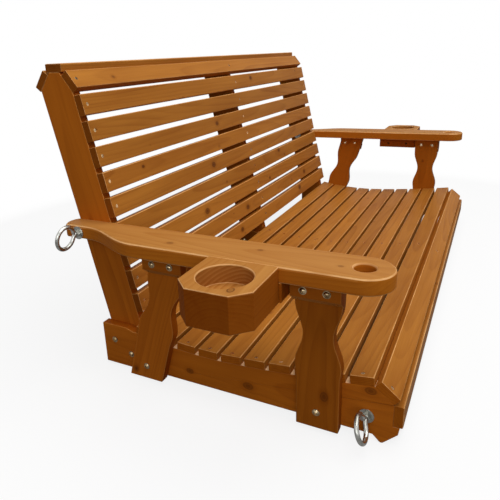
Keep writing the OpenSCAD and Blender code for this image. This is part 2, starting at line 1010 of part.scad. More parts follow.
placed() left() side_rail();  // side_rail_left
placed() side_rail();  // side_rail_right
placed() centre_rail();
placed() left() side_support();  // back_support_left
placed() side_support();  // back_support_right
placed() centre_support();  // centre_back_support
for (n = [1 : seat_count]) placed() seat_slat(n);
placed() nose_slat();
placed() fascia();
for (n = [1 : back_count]) placed() back_slat(n);
placed() cap_slat();
placed() rear_slat();
placed() left() post(front_post_y, 0);  // front_post_left
placed() post(front_post_y, 0);  // front_post_right
placed() left() post(rear_post_y, rear_post_lean);  // rear_post_left
placed() post(rear_post_y, rear_post_lean);  // rear_post_right
placed() left() cleat(front_post_y);  // front_cleat_left
placed() cleat(front_post_y);  // front_cleat_right
placed() left() cleat(rear_cleat_y);  // rear_cleat_left
placed() cleat(rear_cleat_y);  // rear_cleat_right
placed() left() arm();  // arm_left
placed() arm();  // arm_right
placed() left() cup_bearer();  // cup_bearer_left
placed() cup_bearer();  // cup_bearer_right
placed() left() cup_block();  // cup_block_left
placed() cup_block();  // cup_block_right
placed() left() front_eye_bolt();  // front_eye_bolt_left
placed() front_eye_bolt();  // front_eye_bolt_right
placed() left() rear_eye_bolt();  // rear_eye_bolt_left
placed() rear_eye_bolt();  // rear_eye_bolt_right
placed() at_eye_faces() washer();  // eye_washers
placed() at_eye_faces() hex_nut();  // eye_nuts
placed() support_bolts();
placed() post_bolts();
placed() cleat_bolts();
placed() frame_nuts();
placed() seat_screws();
placed() back_screws();
placed() arm_screws();
placed() cup_screws();
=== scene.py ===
import math
import random

import bmesh
import bpy
from mathutils import Matrix, Vector


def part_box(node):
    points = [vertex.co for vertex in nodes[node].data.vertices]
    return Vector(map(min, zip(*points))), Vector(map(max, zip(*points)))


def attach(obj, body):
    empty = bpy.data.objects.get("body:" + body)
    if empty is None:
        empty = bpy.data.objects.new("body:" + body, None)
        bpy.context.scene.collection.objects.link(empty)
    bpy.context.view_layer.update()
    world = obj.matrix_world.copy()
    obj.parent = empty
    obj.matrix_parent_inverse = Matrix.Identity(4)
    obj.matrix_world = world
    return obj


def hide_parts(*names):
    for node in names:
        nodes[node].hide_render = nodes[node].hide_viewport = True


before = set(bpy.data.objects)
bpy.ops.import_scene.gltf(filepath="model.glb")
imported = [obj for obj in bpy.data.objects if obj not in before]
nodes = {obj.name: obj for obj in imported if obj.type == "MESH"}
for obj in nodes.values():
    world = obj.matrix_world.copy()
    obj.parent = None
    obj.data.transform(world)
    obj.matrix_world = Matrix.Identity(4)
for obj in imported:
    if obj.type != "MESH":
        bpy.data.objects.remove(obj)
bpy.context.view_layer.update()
mm = 0.001
print("frame loaded with", len(nodes), "nodes")


# In degrees: heading from +Y towards +X, pitch below level, roll with the right side up
cameraPlan = {
    "place": (-1.3785, -0.44125, 0.6231),
    "heading": 61.27,
    "pitch": 17.92,
    "roll": -2.81,
    "lens": 36.995,
    "sensor": 36,
    "shift": (0.0651, -0.0551),
    "clip": (0.05, 60),
}


def makeCamera(plan):
    heading = math.radians(plan["heading"])
    pitch = math.radians(plan["pitch"])
    roll = math.radians(plan["roll"])
    ahead = Vector((
        math.sin(heading) * math.cos(pitch),
        math.cos(heading) * math.cos(pitch),
        -math.sin(pitch),
    ))
    level = Vector((math.cos(heading), -math.sin(heading), 0))
    right = level * math.cos(roll) + level.cross(ahead) * math.sin(roll)
    upward = right.cross(ahead)
    turn = Matrix((right, upward, -ahead)).transposed().to_4x4()
    data = bpy.data.cameras.new("swingCamera")
    data.lens = plan["lens"]
    data.sensor_width = plan["sensor"]
    data.shift_x, data.shift_y = plan["shift"]
    data.clip_start, data.clip_end = plan["clip"]
    camera = bpy.data.objects.new("swingCamera", data)
    camera.matrix_world = Matrix.Translation(plan["place"]) @ turn
    bpy.context.scene.collection.objects.link(camera)
    bpy.context.scene.camera = camera


makeCamera(cameraPlan)
print("camera placed")


# Helpers for node trees. A socket takes a link from another node, or a fixed value.
def feed(tree, made, links):
    for socket, source in links.items():
        if isinstance(source, bpy.types.NodeSocket):
            tree.links.new(source, made.inputs[socket])
        else:
            made.inputs[socket].default_value = source


def addNode(tree, kind, links=None, **settings):
    made = tree.nodes.new(kind)
    for key, value in settings.items():
        setattr(made, key, value)
    feed(tree, made, links or {})
    return made


def calc(tree, operation, *values, clamp=False):
    links = dict(enumerate(values))
    return addNode(tree, "ShaderNodeMath", links, operation=operation, use_clamp=clamp).outputs[0]


def calcVector(tree, operation, *values):
    links = dict(enumerate(values))
    made = addNode(tree, "ShaderNodeVectorMath", links, operation=operation)
    return made.outputs["Value" if operation in ("LENGTH", "DOT_PRODUCT") else "Vector"]


def splitVector(tree, vector):
    return addNode(tree, "ShaderNodeSeparateXYZ", {0: vector}).outputs


def joinVector(tree, *parts):
    return addNode(tree, "ShaderNodeCombineXYZ", dict(enumerate(parts))).outputs[0]


def fade(tree, value, low, high, start=0.0, end=1.0):
    links = {"Value": value, "From Min": low, "From Max": high, "To Min": start, "To Max": end}
    return addNode(tree, "ShaderNodeMapRange", links, interpolation_type="SMOOTHSTEP").outputs[0]


def mixColour(tree, factor, first, second, how="MIX"):
    links = {0: factor, 6: first, 7: second}  # 6 and 7 are the colour pair among the node's sockets
    made = addNode(tree, "ShaderNodeMix", links, data_type="RGBA", blend_type=how)
    return made.outputs[2]


def noise(tree, spot, stretch, detail=2.0, rough=0.5):
    stretched = calcVector(tree, "MULTIPLY", spot, stretch)
    links = {"Vector": stretched, "Scale": 1.0, "Detail": detail, "Roughness": rough}
    return addNode(tree, "ShaderNodeTexNoise", links).outputs["Fac"]


number = "NodeSocketFloat"
arrow = "NodeSocketVector"
colour = "NodeSocketColor"
solid = "NodeSocketGeometry"


def newGroup(name, given, wanted, kind="ShaderNodeTree"):
    # Returns the tree, the sockets that it is given and the node that takes what is wanted
    tree = bpy.data.node_groups.new(name, kind)
    for label, socketKind in given.items():
        tree.interface.new_socket(label, in_out="INPUT", socket_type=socketKind)
    for label, socketKind in wanted.items():
        tree.interface.new_socket(label, in_out="OUTPUT", socket_type=socketKind)
    return tree, tree.nodes.new("NodeGroupInput").outputs, tree.nodes.new("NodeGroupOutput")


def useGroup(tree, group, links):
    return addNode(tree, "ShaderNodeGroup", links, node_tree=group).outputs


# The shared effects work in a board's own frame: x along the grain, y across it, z through it
def makeEasedEdges():
    # Finds the rounded edges by the surface normal; Box adds the corners between ends and sides
    tree, given, end = newGroup(
        "easedEdges",
        {"Facing": arrow, "Box": number},
        {"Edge": number, "End Grain": number, "Side": number},
    )
    squares = [calc(tree, "MULTIPLY", part, part) for part in splitVector(tree, given["Facing"])]
    turned = calc(tree, "MULTIPLY", squares[2], calc(tree, "SUBTRACT", 1.0, squares[2]))
    corner = calc(tree, "MULTIPLY", squares[0], squares[1])
    either = calc(tree, "MULTIPLY_ADD", corner, given["Box"], turned)
    feed(tree, end, {
        "Edge": calc(tree, "MULTIPLY", either, 4.0, clamp=True),  # 1 where the surface lies at 45 degrees
        "End Grain": squares[0],
        "Side": calc(tree, "SUBTRACT", 1.0, squares[2], clamp=True),
    })
    return tree


# Rim, disc and halo: where each starts to show and where it is full, in knot radii from the middle
knotLook = {
    "oval": (0.7, 1.0, 0.0),        # a knot is longer along the grain
    "rimInside": (0.5, 0.9),
    "rimOutside": (1.3, 0.95),
    "disc": (1.1, 0.3),
    "halo": (2.7, 0.8),
    "smallest": 0.01,               # keeps the bend of the grain finite in the middle
    "placedRim": 0.9,
    "strayRim": 0.5,
    "straySize": (1.1, 0.35),       # what luck adds to the size, and the least size
    "strayDepth": (0.6, 0.3),
    "netShift": (7.31, 3.17),       # moves the net of stray knots from board to board
}


def knotShape(tree, vector, centre, radius):
    # The grain flows round a knot like water round a post
    away = calcVector(tree, "SUBTRACT", vector, centre)
    oval = calcVector(tree, "MULTIPLY", away, knotLook["oval"])
    reach = calc(tree, "DIVIDE", calcVector(tree, "LENGTH", oval), radius)
    square = calc(tree, "MAXIMUM", calc(tree, "MULTIPLY", reach, reach), knotLook["smallest"])
    bend = calc(tree, "SUBTRACT", 1.0, calc(tree, "DIVIDE", 1.0, square), clamp=True)
    along, across, through = splitVector(tree, away)
    flowed = joinVector(tree, along, calc(tree, "MULTIPLY", across, bend), through)
    moved = calcVector(tree, "ADD", flowed, centre)
    inside = fade(tree, reach, *knotLook["rimInside"])
    rim = calc(tree, "MULTIPLY", inside, fade(tree, reach, *knotLook["rimOutside"]))
    disc = fade(tree, reach, *knotLook["disc"])
    halo = fade(tree, reach, *knotLook["halo"])
    return moved, rim, disc, halo


def makePlacedKnot():
    # Hollow is 0 for a dark knot and 1 for one that shows only as a thin ring
    tree, given, end = newGroup(
        "placedKnot",
        {"Vector": arrow, "Core": number, "Halo": number, "Centre": arrow, "Radius": number,
         "Depth": number, "Hollow": number},
        {"Vector": arrow, "Core": number, "Halo": number},
    )
    moved, rim, disc, halo = knotShape(tree, given["Vector"], given["Centre"], given["Radius"])
    filled = calc(tree, "SUBTRACT", 1.0, given["Hollow"])
    rim = calc(tree, "MULTIPLY", rim, knotLook["placedRim"])
    core = calc(tree, "MAXIMUM", rim, calc(tree, "MULTIPLY", disc, filled))
    core = calc(tree, "MULTIPLY", core, given["Depth"])
    halo = calc(tree, "MULTIPLY", calc(tree, "MULTIPLY", halo, given["Depth"]), filled)
    feed(tree, end, {
        "Vector": moved,
        "Core": calc(tree, "MAXIMUM", core, given["Core"]),
        "Halo": calc(tree, "MAXIMUM", halo, given["Halo"]),
    })
    return tree


def makeStrayKnots():
    # At most one knot in each cell of a loose net laid over the board's face
    tree, given, end = newGroup(
        "strayKnots",
        {"Vector": arrow, "Seed": number, "Spread": number, "Radius": number},
        {"Vector": arrow, "Core": number, "Halo": number},
    )
    shift = joinVector(tree, *(calc(tree, "MULTIPLY", given["Seed"], step)
                               for step in knotLook["netShift"]))
    spread = joinVector(tree, *[given["Spread"]] * 3)
    spot = calcVector(tree, "ADD", calcVector(tree, "DIVIDE", given["Vector"], spread), shift)
    net = addNode(tree, "ShaderNodeTexVoronoi", {"Vector": spot, "Scale": 1.0},
                  voronoi_dimensions="2D").outputs
    found = calcVector(tree, "MULTIPLY", calcVector(tree, "SUBTRACT", net["Position"], shift), spread)
    luck = addNode(tree, "ShaderNodeSeparateColor", {0: net["Color"]}).outputs
    size = calc(tree, "MULTIPLY_ADD", luck[0], *knotLook["straySize"])
    size = calc(tree, "MULTIPLY", given["Radius"], size)
    moved, rim, disc, halo = knotShape(tree, given["Vector"], found, size)
    depth = calc(tree, "MULTIPLY_ADD", luck[1], *knotLook["strayDepth"])
    core = calc(tree, "MAXIMUM", calc(tree, "MULTIPLY", rim, knotLook["strayRim"]), disc)
    feed(tree, end, {
        "Vector": moved,
        "Core": calc(tree, "MULTIPLY", core, depth),
        "Halo": calc(tree, "MULTIPLY", halo, depth),
    })
    return tree


# A stretch says how often a pattern repeats in a metre along, across and through the board
pineNoise = {
    "wander": {"stretch": (1.4, 7, 7)},
    "fibre": {"stretch": (11, 460, 460), "rough": 0.6},
    "streak": {"stretch": (2.6, 70, 70), "detail": 3, "rough": 0.55},
    "cloud": {"stretch": (3.2, 10, 10)},
    "rubAndHighlight": {"stretch": (16, 40, 40)},
}
pineLook = {
    "seedShift": (1.37, 2.71, 0.83),
    "askew": (0.035, 0.02),         # how far the pith drifts across and through, for its length
    "wander": 22 * mm,              # how far a ring strays from its circle, from side to side
    "lateWood": 2.2,                # a year's wood darkens with this power of its age
    "yearEnd": (1.0, 0.9),          # and pales again over the last part of the year
    "faintYear": 0.4,
    "ringTone": 0.42,
    "boredTone": 1.5,               # a fresh cut across the grain shows its rings more
    "clearTone": -0.42,             # keeps clear wood pale
    "tones": {"fibre": 0.30, "streak": 0.62, "cloud": 0.76},
    "haloTint": (0.62, 0.50, 0.42, 1),
    "haloShare": 0.55,
    "coreShade": (0.105, 0.028, 0.006, 1),
    "coreShare": 0.85,
    "rubbedAndHighlight": (0.32, 0.68, 0.45, 0.95),     # noise from, noise to, least and most rubbing, which also sets the painted edge highlight
    "edge": (0.15, 0.8),
    "rimShare": 0.85,
    "rough": {"least": 0.34, "fibre": 0.16, "cloud": 0.10, "end": 0.10},
    "height": {"ring": 0.5, "fibre": 0.45, "core": 0.5},
}


def growthRings(tree, given, spot):
    # The dark late wood of each year, round a pith that runs a little askew of the board
    along, across, through = splitVector(tree, calcVector(tree, "SUBTRACT", given["Vector"], given["Pith"]))
    across = calc(tree, "MULTIPLY_ADD", along, pineLook["askew"][0], across)
    through = calc(tree, "MULTIPLY_ADD", along, pineLook["askew"][1], through)
    straying = pineLook["wander"]
    wander = calc(tree, "MULTIPLY_ADD", noise(tree, spot, **pineNoise["wander"]), straying, -straying / 2)
    radius = calc(tree, "ADD", calcVector(tree, "LENGTH", joinVector(tree, 0.0, across, through)), wander)
    phase = calc(tree, "DIVIDE", radius, given["Spacing"])
    age = calc(tree, "FRACT", phase)
    yearSeed = calc(tree, "ADD", calc(tree, "FLOOR", phase), given["Seed"])
    year = addNode(tree, "ShaderNodeTexWhiteNoise", {"W": yearSeed}, noise_dimensions="1D").outputs[0]
    late = calc(tree, "POWER", age, pineLook["lateWood"])
    late = calc(tree, "MULTIPLY", late, fade(tree, age, *pineLook["yearEnd"]))
    faint = pineLook["faintYear"]
    return calc(tree, "MULTIPLY", late, calc(tree, "MULTIPLY_ADD", year, 1 - faint, faint))


def stainShade(tree, given, ring, grain):
    # The stain goes in deeper at rings, fibres and knots
    ringTone = calc(tree, "MULTIPLY_ADD", given["Bored"], pineLook["boredTone"], pineLook["ringTone"])
    tone = calc(tree, "MULTIPLY_ADD", ring, ringTone, pineLook["clearTone"])
    for part, amount in pineLook["tones"].items():
        tone = calc(tree, "MULTIPLY_ADD", grain[part], amount, tone)
    tone = calc(tree, "ADD", tone, 0.0, clamp=True)
    shade = mixColour(tree, tone, given["Pale"], given["Deep"])
    haloShade = mixColour(tree, 1.0, shade, pineLook["haloTint"], "MULTIPLY")
    shade = mixColour(tree, calc(tree, "MULTIPLY", given["Halo"], pineLook["haloShare"]), shade, haloShade)
    core = calc(tree, "MULTIPLY", given["Core"], pineLook["coreShare"])
    return mixColour(tree, core, shade, pineLook["coreShade"])


def weatherAndPaintedLight(tree, given, shade, wearAndLightMasks, spot):
    # Painted light and shade on the narrow sides, a darker stain on open end grain with painted shade on
    # the back slats' ends, and on the edges thinner stain with a painted highlight
    outside = calc(tree, "SUBTRACT", 1.0, given["Bored"])
    for place, tint in (("Side", given["Side"]), ("End Grain", given["End"])):
        tinted = mixColour(tree, 1.0, shade, tint, "MULTIPLY")
        shade = mixColour(tree, calc(tree, "MULTIPLY", wearAndLightMasks[place], outside), shade, tinted)
    rubAndHighlight = fade(tree, noise(tree, spot, **pineNoise["rubAndHighlight"]), *pineLook["rubbedAndHighlight"])
    wornAndLit = calc(tree, "MULTIPLY", fade(tree, wearAndLightMasks["Edge"], *pineLook["edge"]), rubAndHighlight)
    wornAndLit = calc(tree, "MULTIPLY", wornAndLit, given["Wear And Highlight"])
    return mixColour(tree, calc(tree, "MULTIPLY", wornAndLit, pineLook["rimShare"]), shade, given["Rim"])


def makeStainedPine(easedEdges):
    tree, given, end = newGroup(
        "stainedPine",
        {"Vector": arrow, "Facing": arrow, "Seed": number, "Pith": arrow, "Spacing": number,
         "Core": number, "Halo": number, "Box": number, "Bored": number, "Wear And Highlight": number,
         "Pale": colour, "Deep": colour, "Rim": colour, "Side": colour, "End": colour},
        {"Color": colour, "Roughness": number, "Height": number},
    )
    shift = joinVector(tree, *(calc(tree, "MULTIPLY", given["Seed"], step)
                               for step in pineLook["seedShift"]))
    spot = calcVector(tree, "ADD", given["Vector"], shift)
    ring = growthRings(tree, given, spot)
    grain = {part: noise(tree, spot, **pineNoise[part]) for part in ("fibre", "streak", "cloud")}
    wearAndLightMasks = useGroup(tree, easedEdges, {"Facing": given["Facing"], "Box": given["Box"]})
    shade = weatherAndPaintedLight(tree, given, stainShade(tree, given, ring, grain), wearAndLightMasks, spot)

    share = pineLook["rough"]
    rough = calc(tree, "MULTIPLY_ADD", grain["fibre"], share["fibre"], share["least"])
    rough = calc(tree, "MULTIPLY_ADD", grain["cloud"], share["cloud"], rough)
    rough = calc(tree, "MULTIPLY_ADD", wearAndLightMasks["End Grain"], share["end"], rough, clamp=True)
    rise = pineLook["height"]
    height = calc(tree, "MULTIPLY", grain["fibre"], rise["fibre"])
    height = calc(tree, "MULTIPLY_ADD", ring, rise["ring"], height)
    height = calc(tree, "MULTIPLY_ADD", given["Core"], rise["core"], height)
    feed(tree, end, {"Color": shade, "Roughness": rough, "Height": height})
    return tree


steelLook = {
    "spangle": {"stretch": (170, 170, 170)},
    "handled": {"stretch": (38, 38, 38), "detail": 3, "rough": 0.6},
    "grain": {"stretch": (1500, 1500, 1500), "detail": 1},
    "dulling": {"handled": 0.6, "spangle": 0.4},
    "dulled": (0.38, 0.66),
    "rough": (0.2, 0.16),           # added where the steel is dull, and the least
    "grainHeight": 0.4,
}


def makePlatedSteel():
    tree, given, end = newGroup(
        "platedSteel",
        {"Vector": arrow, "Bright": colour, "Dull": colour},
        {"Color": colour, "Roughness": number, "Height": number},
    )
    spangle, handled, grain = (noise(tree, given["Vector"], **steelLook[part])
                               for part in ("spangle", "handled", "grain"))
    share = steelLook["dulling"]
    dulled = calc(tree, "MULTIPLY", spangle, share["spangle"])
    dulled = calc(tree, "MULTIPLY_ADD", handled, share["handled"], dulled)
    dulled = fade(tree, dulled, *steelLook["dulled"])
    feed(tree, end, {
        "Color": mixColour(tree, dulled, given["Bright"], given["Dull"]),
        "Roughness": calc(tree, "MULTIPLY_ADD", dulled, *steelLook["rough"]),
        "Height": calc(tree, "MULTIPLY_ADD", grain, steelLook["grainHeight"], spangle),
    })
    return tree


placedKnot = makePlacedKnot()
strayKnots = makeStrayKnots()
stainedPine = makeStainedPine(makeEasedEdges())
platedSteel = makePlatedSteel()
print("shared effects made")


# The sharp edges of a board are rounded with a router, or left as sawn. Angles in degrees.
routerPlan = {
    "weld": 0.02 * mm,
    "flat": 1,                      # facets closer in angle than this are one face
    "sharp": 50,                    # a corner that turns more is routed
    "sawn": 30,                     # one that turns more and isn't routed stays crisp
    "shortest": 0.8 * mm,           # shorter edges belong to round holes
    "lengthwise": 0.2,              # share of an edge's run that lies along the grain
    "unrouted": 0.01,               # a bevel weight under this is none
    "segments": 3,
    "faceWeight": 50,
}


def makeRoutedEdges(plan):
    # Gives each sharp edge a bevel weight by where it lies
    tree, given, end = newGroup(
        "routedEdges",
        {"Board": solid, "Grain": arrow, "Face": arrow, "Middle": arrow,
         "Back Share": number, "End Share": number},
        {"Board": solid},
        "GeometryNodeTree",
    )
    angle = addNode(tree, "GeometryNodeInputMeshEdgeAngle").outputs["Unsigned Angle"]
    tips = addNode(tree, "GeometryNodeInputMeshEdgeVertices").outputs
    along = calcVector(tree, "SUBTRACT", tips["Position 2"], tips["Position 1"])
    total = calcVector(tree, "ADD", tips["Position 1"], tips["Position 2"])
    middle = calcVector(tree, "MULTIPLY", total, (0.5, 0.5, 0.5))
    height = calcVector(tree, "DOT_PRODUCT", calcVector(tree, "SUBTRACT", middle, given["Middle"]),
                        given["Face"])
    run = calcVector(tree, "DOT_PRODUCT", calcVector(tree, "NORMALIZE", along), given["Grain"])
    sharp = calc(tree, "GREATER_THAN", angle, math.radians(plan["sharp"]))
    notHole = calc(tree, "GREATER_THAN", calcVector(tree, "LENGTH", along), plan["shortest"])
    front = calc(tree, "GREATER_THAN", height, 0.0)
    lengthwise = calc(tree, "GREATER_THAN", calc(tree, "ABSOLUTE", run), plan["lengthwise"])
    weight = calc(tree, "MULTIPLY", sharp, notHole)
    for test, share in ((front, given["Back Share"]), (lengthwise, given["End Share"])):
        kept = calc(tree, "MULTIPLY_ADD", test, calc(tree, "SUBTRACT", 1.0, share), share)
        weight = calc(tree, "MULTIPLY", weight, kept)
    stored = addNode(tree, "GeometryNodeStoreNamedAttribute",
                     {"Geometry": given["Board"], "Name": "bevel_weight_edge", "Value": weight},
                     domain="EDGE", data_type="FLOAT").outputs[0]
    # corners that stay as sawn are shaded sharp
    turned = calc(tree, "GREATER_THAN", angle, math.radians(plan["sawn"]))
    sawn = calc(tree, "MULTIPLY", turned, calc(tree, "LESS_THAN", weight, plan["unrouted"]))
    crisp = addNode(tree, "GeometryNodeSetShadeSmooth",
                    {"Geometry": stored, "Selection": sawn, "Shade Smooth": False},
                    domain="EDGE").outputs[0]
    feed(tree, end, {"Board": crisp})
    return tree


routedEdges = makeRoutedEdges(routerPlan)


def setInputs(modifier, values):
    for item in modifier.node_group.interface.items_tree:
        if item.in_out == "INPUT" and item.name in values:
            modifier[item.identifier] = values[item.name]


def broadFace(piece):
    # The direction that the largest area of a board faces
    tally = {}
    for polygon in piece.data.polygons:
        key = tuple(round(part, 2) for part in polygon.normal)
        tally[key] = tally.get(key, 0) + polygon.area
    best = max(sorted(tally), key=lambda key: tally[key])
    return Vector(best).normalized()


def boardFrame(piece, grain, facing):
    # Where a board lies, which way its grain runs and which way its good face looks
    face = broadFace(piece)
    if face.dot(Vector(facing)) < 0:
        face = -face
    along = (Vector(grain) - face * face.dot(Vector(grain))).normalized()
    low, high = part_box(piece.name)
    turn = Matrix((along, face.cross(along), face)).transposed()
    return {"middle": (low + high) / 2, "turn": turn, "grain": along, "face": face}


def roundEdges(piece, lie, plan):
    weld = piece.modifiers.new("weld", "WELD")
    weld.merge_threshold = routerPlan["weld"]
    flatten = piece.modifiers.new("flatten", "DECIMATE")
    flatten.decimate_type = "DISSOLVE"
    flatten.angle_limit = math.radians(routerPlan["flat"])
    marks = piece.modifiers.new("marks", "NODES")
    marks.node_group = routedEdges
    setInputs(marks, {
        "Grain": lie["grain"], "Face": lie["face"], "Middle": lie["middle"],
        "Back Share": plan["backShare"], "End Share": plan["endShare"],
    })
    router = piece.modifiers.new("router", "BEVEL")
    router.limit_method = "WEIGHT"
    router.width = plan["radius"]
    router.segments = routerPlan["segments"]
    router.use_clamp_overlap = False
    settle = piece.modifiers.new("settle", "WEIGHTED_NORMAL")
    settle.keep_sharp = True
    settle.weight = routerPlan["faceWeight"]


# Pale and deep are the stain between and in the grain, rim is wood where rubbing thinned the stain plus a
# painted highlight, side is a tint of painted light and shade on the narrow sides, end is a tint for end
# grain
timber = {
    "slat": {"pale": (0.53, 0.208, 0.031), "deep": (0.29, 0.088, 0.011), "rim": (0.92, 0.50, 0.19),
             "side": (1.00, 0.94, 0.82), "end": (1.12, 0.86, 0.40), "sheen": 0.05},
    "frame": {"pale": (0.55, 0.157, 0.012), "deep": (0.34, 0.082, 0.006), "rim": (0.86, 0.42, 0.12),
              "side": (0.78, 0.70, 0.58), "end": (0.85, 0.80, 0.72), "sheen": 0.03},
    "arm": {"pale": (0.53, 0.243, 0.060), "deep": (0.38, 0.139, 0.026), "rim": (0.92, 0.54, 0.23),
            "side": (1.10, 0.76, 0.25), "end": (1.05, 1.10, 1.10), "sheen": 0.04},
}
# the back slat ends and the cup block sides carry stronger painted shade
timber["backSlat"] = {**timber["slat"], "end": (0.62, 0.47, 0.27)}
timber["cup"] = {**timber["arm"], "side": (0.72, 0.43, 0.15), "end": (0.85, 0.78, 0.70), "sheen": 0.015}

# What every board has unless its own plan says otherwise; a share is of the plan's edge radius
anyBoard = {
    "backShare": 1.0,               # the edges of the face that looks away
    "endShare": 1.0,                # the edges across the grain
    "box": 1.0,                     # how much the corners between ends and sides show rubbing and its painted highlight
    "lift": 0.0,                    # how much lighter the stain is made: painted light and shade for the light that falls on the board
    # how strong the edge rim of rubbing and painted highlight is
    "wearAndHighlight": 1.0,
    "knots": (),                    # each a point of the good face and a radius
    "knotDepth": 1.0,
    "knotHollow": 0.0,
}
boardFinish = {
    "variety": 0.08,                # how much lighter or darker chance makes a board
    "pithAcross": 30 * mm,          # how far the pith lies from the board's middle line
    "pithDepth": (50 * mm, 110 * mm),
    "boreSoft": (2 * mm, 0.5 * mm),     # how far past its radius a bore's own grain fades out
    # the cream is a painted highlight on the rail tops between the slats
    "gapHighlightShade": (0.95, 0.62, 0.33, 1),
    "gapHighlightSoft": 10 * mm,
    "gapHighlightUpright": (0.6, 0.9),      # how level a surface is where the painted highlight starts, and where it is full
    "relief": 0.5,
    "reliefDepth": 0.5 * mm,
    "ior": 1.45,
}


def clearTree(owner):
    owner.use_nodes = True
    owner.node_tree.nodes.clear()
    return owner.node_tree


def boardKnots(tree, spot, lie, plan):
    knots = useGroup(tree, strayKnots, {
        "Vector": spot, "Seed": plan["seed"], "Spread": plan["knotSpread"], "Radius": plan["knotSize"],
    })
    for centre, radius in plan["knots"]:
        knots = useGroup(tree, placedKnot, {
            "Vector": knots["Vector"], "Core": knots["Core"], "Halo": knots["Halo"],
            "Centre": lie["turn"].inverted() @ (Vector(centre) - lie["middle"]),
            "Radius": radius, "Depth": plan["knotDepth"], "Hollow": plan["knotHollow"],
        })
    return knots


def boredMask(tree, spot, radius):
    # 1 inside a round bore through the middle of the board's face
    flat = calcVector(tree, "MULTIPLY", spot, (1, 1, 0))
    past, close = boardFinish["boreSoft"]
    return fade(tree, calcVector(tree, "LENGTH", flat), radius + past, radius + close)


def gapHighlightMasks(tree, source, place):
    # A painted highlight for the lit top of a rail ahead of a place in Y: a mask of that stretch, and of
    # its top alone
    along = splitVector(tree, source["Object"])[1]
    ahead = fade(tree, along, place + boardFinish["gapHighlightSoft"], place)
    upright = fade(tree, splitVector(tree, source["Normal"])[2], *boardFinish["gapHighlightUpright"])
    return ahead, calc(tree, "MULTIPLY", ahead, upright)


def boardLuck(plan):
    # Chance gives each board its own pith and its own lightness, and the plan's lift adds painted light and
    # shade
    luck = random.Random(plan["seed"])
    across = luck.uniform(-boardFinish["pithAcross"], boardFinish["pithAcross"])
    depth = luck.choice((-1, 1)) * luck.uniform(*boardFinish["pithDepth"])
    lightness = 1 + luck.uniform(-1, 1) * boardFinish["variety"] + plan["lift"]
    return plan.get("pith", (0, across, depth)), lightness


def boardMaterial(name, lie, plan):
    kind = timber[plan["timber"]]
    pith, lightness = boardLuck(plan)
    material = bpy.data.materials.new(name)
    tree = clearTree(material)
    source = addNode(tree, "ShaderNodeTexCoord").outputs
    turn = lie["turn"].to_euler("XYZ")
    spot = addNode(tree, "ShaderNodeMapping",
                   {"Vector": source["Object"], "Location": lie["middle"], "Rotation": turn},
                   vector_type="TEXTURE").outputs[0]
    facing = addNode(tree, "ShaderNodeMapping", {"Vector": source["Normal"], "Rotation": turn},
                     vector_type="TEXTURE").outputs[0]
    knots = boardKnots(tree, spot, lie, plan)
    wearAndHighlight = plan["wearAndHighlight"]
    # a rail's top between the slats gets a painted highlight, and its edges there lose the edge rim
    if "gapHighlightAhead" in plan:
        ahead, wearAndLightMasks = gapHighlightMasks(tree, source, plan["gapHighlightAhead"])
        wearAndHighlight = calc(tree, "SUBTRACT", 1.0, ahead)
    look = useGroup(tree, stainedPine, {
        "Vector": knots["Vector"], "Facing": facing, "Seed": plan["seed"], "Pith": pith,
        "Spacing": plan["spacing"], "Core": knots["Core"], "Halo": knots["Halo"],
        "Box": plan["box"], "Wear And Highlight": wearAndHighlight,
        "Bored": boredMask(tree, spot, plan["bore"]) if "bore" in plan else 0.0,
        "Pale": [part * lightness for part in kind["pale"]] + [1],
        "Deep": [part * lightness for part in kind["deep"]] + [1],
        "Rim": [*kind["rim"], 1], "Side": [*kind["side"], 1], "End": [*kind["end"], 1],
    })
    shade = look["Color"]
    if "gapHighlightAhead" in plan:
        shade = mixColour(tree, wearAndLightMasks, shade, boardFinish["gapHighlightShade"])
    relief = addNode(tree, "ShaderNodeBump", {
        "Height": look["Height"], "Strength": boardFinish["relief"],
        "Distance": boardFinish["reliefDepth"],
    })
    varnish = addNode(tree, "ShaderNodeBsdfPrincipled", {
        "Base Color": shade, "Roughness": look["Roughness"], "Normal": relief.outputs[0],
        "Specular IOR Level": kind["sheen"], "IOR": boardFinish["ior"],
    })
    addNode(tree, "ShaderNodeOutputMaterial", {"Surface": varnish.outputs[0]})
    return material


def finishBoard(name, ownPlan):
    plan = {**anyBoard, **ownPlan}
    piece = nodes[name]
    lie = boardFrame(piece, plan["grain"], plan["facing"])
    roundEdges(piece, lie, plan)
    piece.data.materials.clear()
    piece.data.materials.append(boardMaterial(name + "Timber", lie, plan))


def numbered(start):
    # The nodes of a numbered row, counted from 1
    return enumerate(sorted(name for name in nodes if name.startswith(start)), 1)


# Seat slats run along X; their upper edges are rounded over, the lower ones stay as sawn
seatPlan = {
    "timber": "slat", "grain": (1, 0, 0), "facing": (0, 0, 1),
    "radius": 2.2 * mm, "backShare": 0.0, "endShare": 0.45, "box": 0.4,
    "knotSpread": 0.17, "knotSize": 3.2 * mm, "spacing": 4.5 * mm,
}

for count, name in numbered("seat_slat_"):
    finishBoard(name, {**seatPlan, "seed": count})
finishBoard("nose_slat", {**seatPlan, "seed": 11})
finishBoard("fascia", {
    **seatPlan, "seed": 12, "facing": (0, -1, 0), "radius": 3.5 * mm, "backShare": 0.3, "lift": -0.1,
})
print("seat slats finished")

